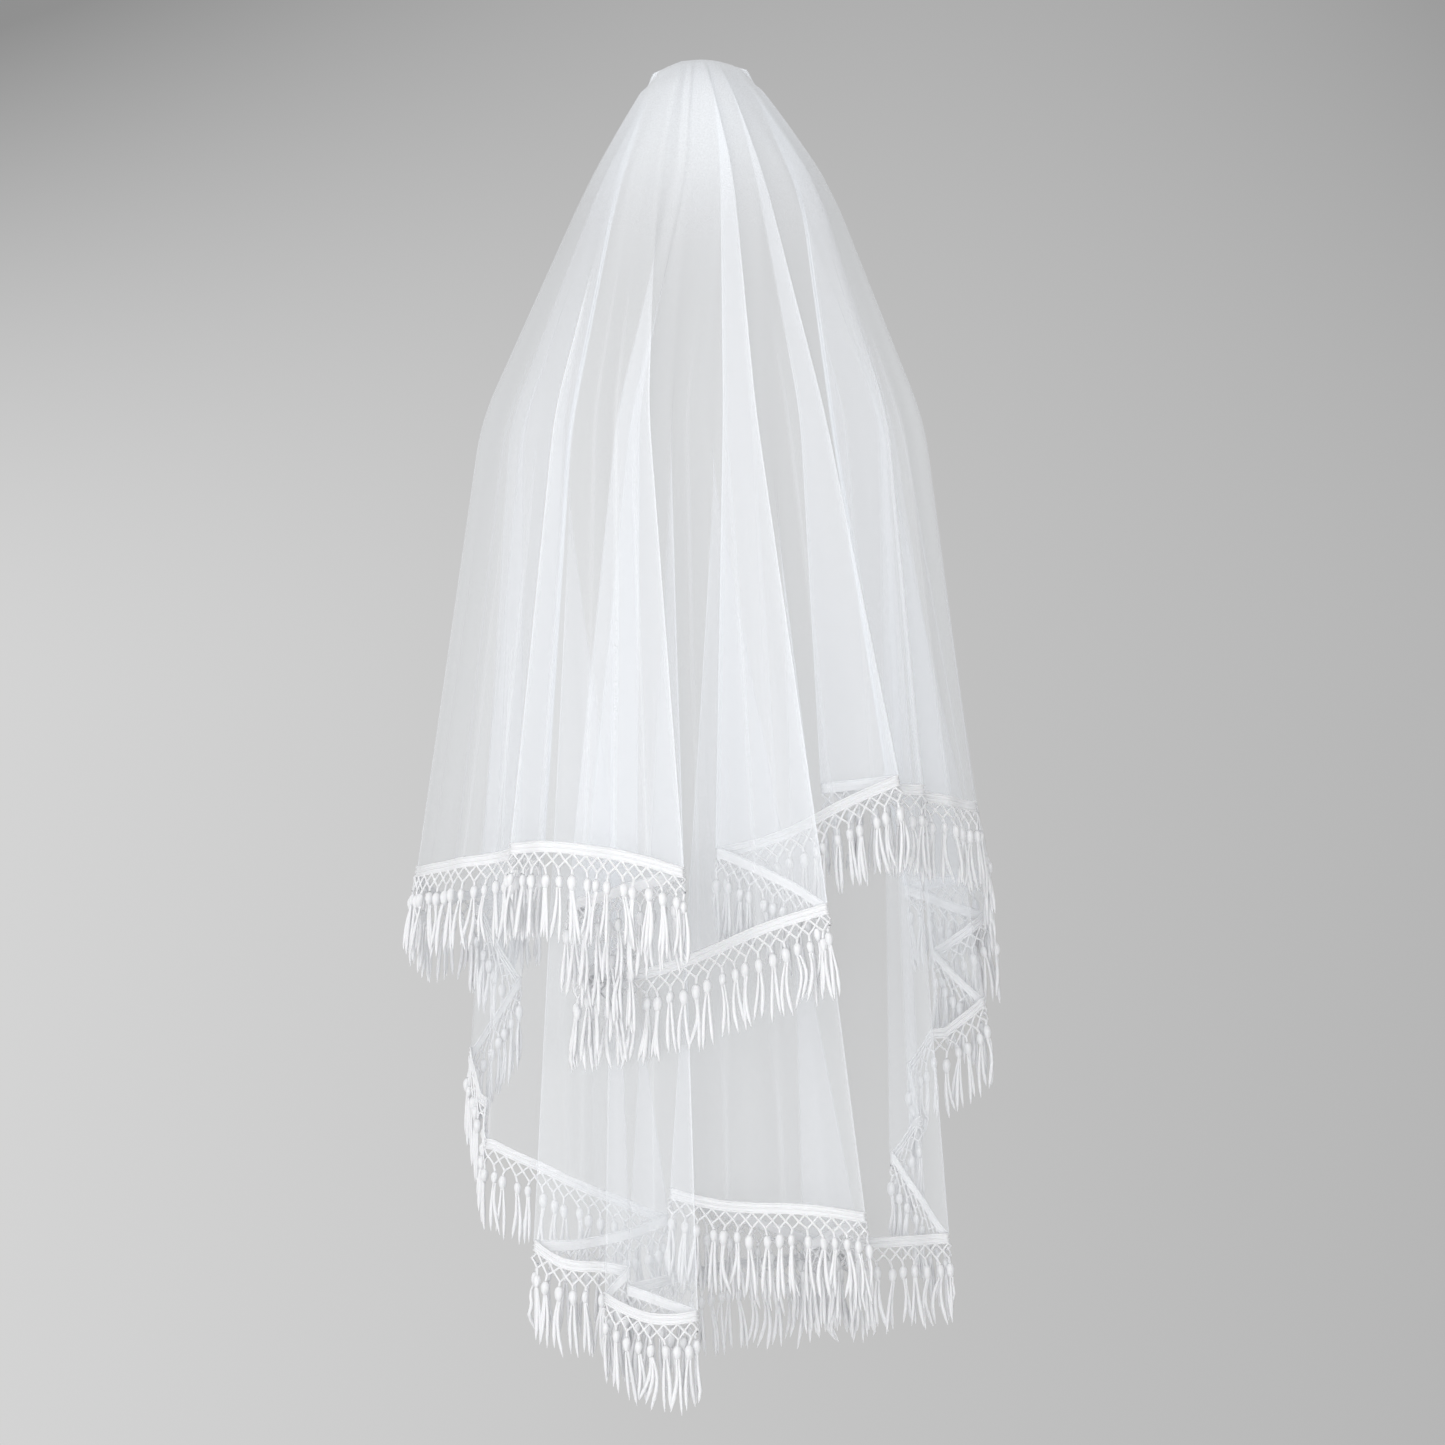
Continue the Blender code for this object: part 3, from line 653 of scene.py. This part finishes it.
def add_lattice(yarns, hem, count, distance, depth):
    """The two crossing families of cords, which meet in knots."""
    between = np.linspace(0.0, 1.0, 4)[:-1]
    for way in (1, -1):
        for start in range(-LATTICE_ROWS, 2 * count + LATTICE_ROWS + 1, 2):
            columns = [start + way * row for row in range(LATTICE_ROWS + 1)]
            kept = [row for row, column in enumerate(columns) if 0 <= column <= 2 * count]
            if len(kept) < 2:
                continue
            places = np.array([[distance[row, columns[row]], depth[row, columns[row]]] for row in kept])
            path = []
            radii = []
            for first, second in zip(places[:-1], places[1:]):
                for share in between:
                    path.append(first + (second - first) * share)
                    radii.append(KNOT_RADIUS if share == 0.0 else LATTICE_RADIUS)
            path.append(places[-1])
            radii.append(KNOT_RADIUS)
            path = np.array(path)
            out = np.full(len(path), TAPE_OUT * (1.0 + 0.25 * way))
            yarns.tube(hem.at(path[:, 0], path[:, 1], out), radii, sides=4)


def add_bead(yarns, hem, distance, depth, swing, out, size):
    """A woven bead with eight soft ribs, thicker in its upper half."""
    rings = 8
    turn = np.linspace(0.0, math.pi, rings)
    along = -np.cos(turn)
    radius = np.sin(turn) * (1.0 - 0.18 * along) * BEAD_RADIUS * size
    radius = np.maximum(radius, 0.3 * MM)
    path = hem.at(distance + swing * (along + 1.0) / 2.0, depth + along * BEAD_HALF_LENGTH * size,
                  np.full(rings, out), hang_from=depth)
    yarns.tube(path, radius, sides=8, squash=0.8)


def add_strand(yarns, hem, distance, depth, swing, out, length, bend, thick):
    """One soft strand: thin where it leaves the bead, full in its lower half, pointed at its tip."""
    share = np.linspace(0.0, 1.0, 9)
    sideways = swing * share ** 1.3 + bend * np.sin(math.pi * share * 1.15)
    outward = out * np.sin(math.pi * 0.5 * share)
    profile = np.interp(share, [0.0, 0.12, 0.45, 0.75, 0.92, 1.0], [0.55, 0.6, 0.95, 1.0, 0.6, 0.12])
    path = hem.at(distance + sideways, depth + share * length, TAPE_OUT + outward, hang_from=depth)
    yarns.tube(path, STRAND_RADIUS * thick * profile, sides=5)


def add_tassels(yarns, hem, count, distance, depth, chance):
    """A stem, a bead and two or three strands under every low point of the lattice."""
    for number in range(count + 1):
        start = distance[-1, 2 * number]
        low = depth[-1, 2 * number]
        swing = chance.normal(0.0, 1.3 * MM)
        out = chance.normal(0.0, 0.8 * MM)
        size = chance.uniform(0.86, 1.12)
        stem_end = low + STEM_LENGTH * chance.uniform(0.7, 1.3)
        stem = hem.at(np.array([start, start + swing]), np.array([low, stem_end]),
                      np.array([TAPE_OUT, TAPE_OUT + out]))
        yarns.tube(stem, [KNOT_RADIUS, LATTICE_RADIUS * 1.1], sides=5)
        bead_depth = stem_end + BEAD_HALF_LENGTH * size
        add_bead(yarns, hem, start + swing, bead_depth, chance.normal(0.0, 0.5 * MM), TAPE_OUT + out, size)
        strands = 3 if chance.random() < 0.2 else 2
        spread = chance.uniform(STRAND_SPREAD["least"], STRAND_SPREAD["most"])
        sway = chance.normal(0.0, STRAND_SWAY["tassel"])
        bend = chance.normal(0.0, STRAND_BEND)
        for strand in range(strands):
            side = 2.0 * strand / (strands - 1) - 1.0
            add_strand(
                yarns, hem,
                distance=start + swing + side * 1.1 * MM,
                depth=bead_depth + BEAD_HALF_LENGTH * size * 0.75,
                swing=side * spread + sway + chance.normal(0.0, STRAND_SWAY["own"]),
                out=chance.normal(0.0, STRAND_OUT),
                length=STRAND_LENGTH * chance.uniform(0.84, 1.05),
                bend=bend + side * chance.normal(0.0, STRAND_SWAY["own"]),
                thick=chance.uniform(0.85, 1.15),
            )


def build_trim(name, shell, material):
    hem = HemLine(shell["grid"])
    chance = np.random.default_rng(TRIM_SEED[shell["tier"]])
    yarns = Yarns()
    add_tape(yarns, hem)
    count, distance, depth = lattice_nodes(hem, chance)
    add_lattice(yarns, hem, count, distance, depth)
    add_tassels(yarns, hem, count, distance, depth, chance)
    return add_mesh(name, np.concatenate(yarns.vertices), np.concatenate(yarns.faces), material)


def build_fold_edge(name, outer, inner, material):
    """The rolled fold that turns one tier into the other."""
    crown_places = np.linspace(-1.0, 1.0, 90)[1:-1]

    def resampled(shell):
        grid = shell["grid"]
        half = CROWN_HALF_WIDTH[shell["tier"]]
        crown = np.stack([np.interp(crown_places * half, grid[0, :, 0], grid[0, :, axis])
                          for axis in range(3)], axis=1)
        line = np.concatenate([grid[::-1, 0], crown, grid[:, -1]])
        inward = np.concatenate([
            unit(grid[::-1, 2] - grid[::-1, 0]),
            np.tile([0.0, -1.0, 0.0], (len(crown), 1)),
            unit(grid[:, -3] - grid[:, -1]),
        ])
        return line, inward

    outer_line, inward = resampled(outer)
    inner_line, _ = resampled(inner)
    middle = (outer_line + inner_line) / 2.0
    half = (outer_line - inner_line) / 2.0
    bulge = np.linalg.norm(half, axis=1, keepdims=True) * 0.8 + 0.7 * MM
    turn = np.linspace(0.0, math.pi, 7)
    rows = [middle + half * math.cos(a) - inward * bulge * math.sin(a) for a in turn]
    rolled = np.stack(rows)
    thing = add_mesh(name, rolled.reshape(-1, 3), grid_faces(*rolled.shape[:2]), material)
    to_crown = smooth_step(1.0 + rolled[..., 2] / EDGE_CROWN_END)
    white = EDGE_WHITE["side"] + (EDGE_WHITE["crown"] - EDGE_WHITE["side"]) * to_crown
    for name, value in (("line", white), ("gap", np.zeros(white.shape)), ("gathered", np.zeros(white.shape))):
        values = thing.data.attributes.new(name, "FLOAT", "POINT")
        values.data.foreach_set("value", value.ravel().astype(np.float32))
    return thing


def node(tree, kind, place, **settings):
    made = tree.nodes.new(kind)
    made.location = place
    for name, value in settings.items():
        setattr(made, name, value)
    return made


def math_node(tree, place, operation, first, second=None, clamp=False):
    """A math node whose inputs are sockets or plain numbers."""
    made = node(tree, "ShaderNodeMath", place, operation=operation, use_clamp=clamp)
    for index, value in enumerate((first, second)):
        if value is None:
            continue
        if isinstance(value, (int, float)):
            made.inputs[index].default_value = value
        else:
            tree.links.new(value, made.inputs[index])
    return made.outputs["Value"]


def bell(tree, place, distance, reach):
    """1 where distance is 0, falling smoothly to 0 within about twice the reach."""
    x, y = place
    scaled = math_node(tree, (x, y), "MULTIPLY", distance, 1.0 / reach)
    squared = math_node(tree, (x + 180, y), "MULTIPLY", scaled, scaled)
    negative = math_node(tree, (x + 360, y), "MULTIPLY", squared, -1.0)
    return math_node(tree, (x + 540, y), "EXPONENT", negative)


def tulle_material(name, sheerness):
    """Sheer net: more see-through in its meshes, whiter along fold lines and in fine gathers."""
    material = bpy.data.materials.new(name)
    material.use_nodes = True
    tree = material.node_tree
    shader = tree.nodes["Principled BSDF"]
    shader.inputs["Base Color"].default_value = (*TULLE_COLOUR, 1.0)
    shader.inputs["Roughness"].default_value = 0.62
    shader.inputs["Specular IOR Level"].default_value = 0.25
    shader.inputs["Sheen Weight"].default_value = 0.2
    shader.inputs["Sheen Roughness"].default_value = 0.4

    place = node(tree, "ShaderNodeTexCoord", (-2000, 0))
    net = node(tree, "ShaderNodeTexVoronoi", (-1700, 250), feature="DISTANCE_TO_EDGE")
    net.inputs["Scale"].default_value = 1.0 / NET_CELL
    tree.links.new(place.outputs["Object"], net.inputs["Vector"])
    thread = node(tree, "ShaderNodeMapRange", (-1400, 250))
    thread.inputs["From Min"].default_value = 0.04
    thread.inputs["From Max"].default_value = 0.30
    thread.inputs["To Min"].default_value = 1.0 + NET_CONTRAST
    thread.inputs["To Max"].default_value = 1.0 - 0.5 * NET_CONTRAST
    tree.links.new(net.outputs["Distance"], thread.inputs["Value"])

    stretch = node(tree, "ShaderNodeMapping", (-1700, -50))
    stretch.inputs["Scale"].default_value = (STREAKS_ACROSS, STREAKS_DOWN, 1.0)
    tree.links.new(place.outputs["UV"], stretch.inputs["Vector"])
    streak = node(tree, "ShaderNodeTexNoise", (-1400, -50))
    streak.inputs["Scale"].default_value = 1.0
    streak.inputs["Detail"].default_value = 3.0
    tree.links.new(stretch.outputs["Vector"], streak.inputs["Vector"])
    streaked = node(tree, "ShaderNodeMapRange", (-1100, -50))
    streaked.inputs["From Min"].default_value = 0.3
    streaked.inputs["From Max"].default_value = 0.7
    streaked.inputs["To Min"].default_value = sheerness * (1.0 - STREAK_CONTRAST)
    streaked.inputs["To Max"].default_value = sheerness * (1.0 + STREAK_CONTRAST)
    tree.links.new(streak.outputs["Fac"], streaked.inputs["Value"])

    line = node(tree, "ShaderNodeAttribute", (-2000, -400), attribute_name="line").outputs["Fac"]
    gap = node(tree, "ShaderNodeAttribute", (-2000, -600), attribute_name="gap").outputs["Fac"]
    thin = math_node(tree, (-1000, -400), "MULTIPLY", bell(tree, (-1750, -400), gap, LINE_REACH), LINE_GAIN)
    glow = math_node(tree, (-1000, -600), "MULTIPLY", bell(tree, (-1750, -600), gap, LINE_GLOW), GLOW_GAIN)
    both = math_node(tree, (-800, -500), "ADD", thin, glow)
    white = math_node(tree, (-600, -400), "MULTIPLY", both, line)
    gathered = node(tree, "ShaderNodeAttribute", (-2000, -800), attribute_name="gathered").outputs["Fac"]
    cover = math_node(tree, (-520, -200), "ADD", streaked.outputs["Result"], white)
    cover = math_node(tree, (-400, -300), "ADD", cover, gathered)
    alpha = math_node(tree, (-240, -100), "MULTIPLY", cover, thread.outputs["Result"], clamp=True)
    tree.links.new(alpha, shader.inputs["Alpha"])
    return material


def trim_material():
    """Matt white yarn with a fine twist."""
    material = bpy.data.materials.new("trim_yarn")
    material.use_nodes = True
    tree = material.node_tree
    shader = tree.nodes["Principled BSDF"]
    shader.inputs["Roughness"].default_value = 0.7
    shader.inputs["Specular IOR Level"].default_value = 0.25
    shader.inputs["Sheen Weight"].default_value = 0.35
    shader.inputs["Sheen Roughness"].default_value = 0.4
    place = node(tree, "ShaderNodeTexCoord", (-1200, 0))
    fibre = node(tree, "ShaderNodeTexNoise", (-950, 150))
    fibre.inputs["Scale"].default_value = 1100.0
    fibre.inputs["Detail"].default_value = 2.0
    tree.links.new(place.outputs["Object"], fibre.inputs["Vector"])
    tint = node(tree, "ShaderNodeMapRange", (-700, 250), data_type="FLOAT_VECTOR")
    tint.inputs[9].default_value = (0.79, 0.797, 0.815)
    tint.inputs[10].default_value = (0.92, 0.923, 0.935)
    tree.links.new(fibre.outputs["Color"], tint.inputs[6])
    tree.links.new(tint.outputs[1], shader.inputs["Base Color"])
    bump = node(tree, "ShaderNodeBump", (-450, -200))
    bump.inputs["Strength"].default_value = 0.5
    bump.inputs["Distance"].default_value = 0.4 * MM
    tree.links.new(fibre.outputs["Fac"], bump.inputs["Height"])
    tree.links.new(bump.outputs["Normal"], shader.inputs["Normal"])
    return material


def build_stage():
    """A pale floor that fades into the backdrop, the soft light and the camera."""
    rings = np.linspace(0.0, 1.0, 13)[1:] * FLOOR_RADIUS
    angle = np.linspace(0.0, 2.0 * math.pi, 65)
    grid = np.stack([np.outer(rings, np.cos(angle)), np.outer(rings, np.sin(angle)),
                     np.full((len(rings), len(angle)), FLOOR_Z)], axis=2)
    material = bpy.data.materials.new("floor")
    material.use_nodes = True
    tree = material.node_tree
    shader = tree.nodes["Principled BSDF"]
    shader.inputs["Base Color"].default_value = (0.62, 0.63, 0.64, 1.0)
    shader.inputs["Roughness"].default_value = 0.9
    place = node(tree, "ShaderNodeTexCoord", (-900, 0))
    length = node(tree, "ShaderNodeVectorMath", (-700, 0), operation="LENGTH")
    tree.links.new(place.outputs["Object"], length.inputs[0])
    fade = node(tree, "ShaderNodeMapRange", (-450, 0), interpolation_type="SMOOTHSTEP")
    fade.inputs["From Min"].default_value = FLOOR_FADE_FROM
    fade.inputs["From Max"].default_value = FLOOR_RADIUS
    fade.inputs["To Min"].default_value = 1.0
    fade.inputs["To Max"].default_value = 0.0
    tree.links.new(length.outputs["Value"], fade.inputs["Value"])
    tree.links.new(fade.outputs["Result"], shader.inputs["Alpha"])
    floor = add_mesh("floor", grid.reshape(-1, 3), grid_faces(len(rings), len(angle)), material)

    world = bpy.data.worlds.new("studio")
    bpy.context.scene.world = world
    world.use_nodes = True
    tree = world.node_tree
    background = tree.nodes["Background"]
    background.inputs["Strength"].default_value = 1.0
    # The world's colour is the backdrop and lights the scene as well. Its fall is painted light: lighter on the
    # left, darker to the right, darker towards the top and darker still in the upper corners.
    place = node(tree, "ShaderNodeTexCoord", (-1200, 0))
    split = node(tree, "ShaderNodeSeparateXYZ", (-1020, 0))
    tree.links.new(place.outputs["Generated"], split.inputs["Vector"])
    up = math_node(tree, (-840, 100), "MAXIMUM", split.outputs["Z"], 0.0)
    up = math_node(tree, (-660, 100), "MINIMUM", up, BACKDROP_TOP)
    squared = math_node(tree, (-480, 200), "MULTIPLY", up, up)
    side = math_node(tree, (-840, -200), "MAXIMUM", split.outputs["X"], -BACKDROP_SIDE)
    side = math_node(tree, (-660, -200), "MINIMUM", side, BACKDROP_SIDE)
    corner = math_node(tree, (-480, 0), "MULTIPLY", side, BACKDROP_PAINTED_CORNER_SHADE)
    corner = math_node(tree, (-300, 0), "ADD", corner, BACKDROP_PAINTED_TOP_TURN)
    corner = math_node(tree, (-120, 0), "MULTIPLY", corner, side)
    fall = math_node(tree, (60, 0), "ADD", corner, BACKDROP_PAINTED_TOP_SHADE)
    fall = math_node(tree, (240, 100), "MULTIPLY", fall, squared)
    slope = math_node(tree, (240, -100), "MULTIPLY", side, BACKDROP_PAINTED_SIDE_SHADE)
    level = math_node(tree, (420, -100), "ADD", slope, BACKDROP_LEVEL)
    colour = math_node(tree, (600, 0), "ADD", level, fall)
    colour = math_node(tree, (780, 0), "MAXIMUM", colour, BACKDROP_DARKEST)
    tree.links.new(colour, background.inputs["Color"])

    for name, place, size, power in LAMPS:
        light = bpy.data.lights.new(name, "AREA")
        light.shape = "DISK"
        light.size = size
        light.energy = power
        lamp = bpy.data.objects.new(name, light)
        lamp.location = place
        aim = np.array([0.0, 0.0, -0.6]) - np.array(place)
        lamp.rotation_euler = direction_angles(aim)
        bpy.context.scene.collection.objects.link(lamp)

    camera = bpy.data.cameras.new("photo_view")
    camera.sensor_width = SENSOR_WIDTH
    camera.lens = SENSOR_WIDTH * CAMERA_DISTANCE / (PHOTO_SIDE * PIXEL_AT_CROWN)
    camera.clip_end = 60.0
    thing = bpy.data.objects.new("photo_view", camera)
    thing.location = (CAMERA_X, -CAMERA_DISTANCE, CAMERA_Z)
    thing.rotation_euler = (math.pi / 2.0, 0.0, 0.0)
    bpy.context.scene.collection.objects.link(thing)
    bpy.context.scene.camera = thing
    bpy.context.scene.view_settings.view_transform = "Standard"
    bpy.context.scene.cycles.transparent_max_bounces = 48


def direction_angles(aim):
    """Turns a lamp, which shines along its own -Z, so that it shines along aim."""
    flat = math.hypot(aim[0], aim[1])
    return (math.atan2(flat, -aim[2]), 0.0, math.atan2(-aim[0], aim[1]))


def main():
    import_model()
    build_stage()
    tulle = {tier: tulle_material("tulle_" + tier, SHEERNESS[tier]) for tier in SHEERNESS}
    yarn = trim_material()

    outer = add_relief(shell_grid("outer"))
    inner = add_relief(shell_grid("inner"))
    outer_cloth = build_shell("outer_tulle", outer, tulle["outer"])
    inner_cloth = build_shell("inner_tulle", inner, tulle["inner"])
    outer_trim = build_trim("outer_tassel_trim", outer, yarn)
    inner_trim = build_trim("inner_tassel_trim", inner, yarn)
    fold_edge = build_fold_edge("folded_edge", outer, inner, tulle["outer"])

    for piece, slot in ((outer_cloth, "tulle"), (inner_cloth, "tulle"), (fold_edge, "tulle"),
                        (outer_trim, "trim"), (inner_trim, "trim")):
        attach(piece, "root")
    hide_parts("outer_tier")
    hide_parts("inner_tier")
    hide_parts("outer_fringe")
    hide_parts("inner_fringe")

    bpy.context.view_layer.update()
    for thing in (outer_cloth, inner_cloth, outer_trim, inner_trim, fold_edge):
        print(thing.name, "triangles", sum(len(face.vertices) - 2 for face in thing.data.polygons))


main()
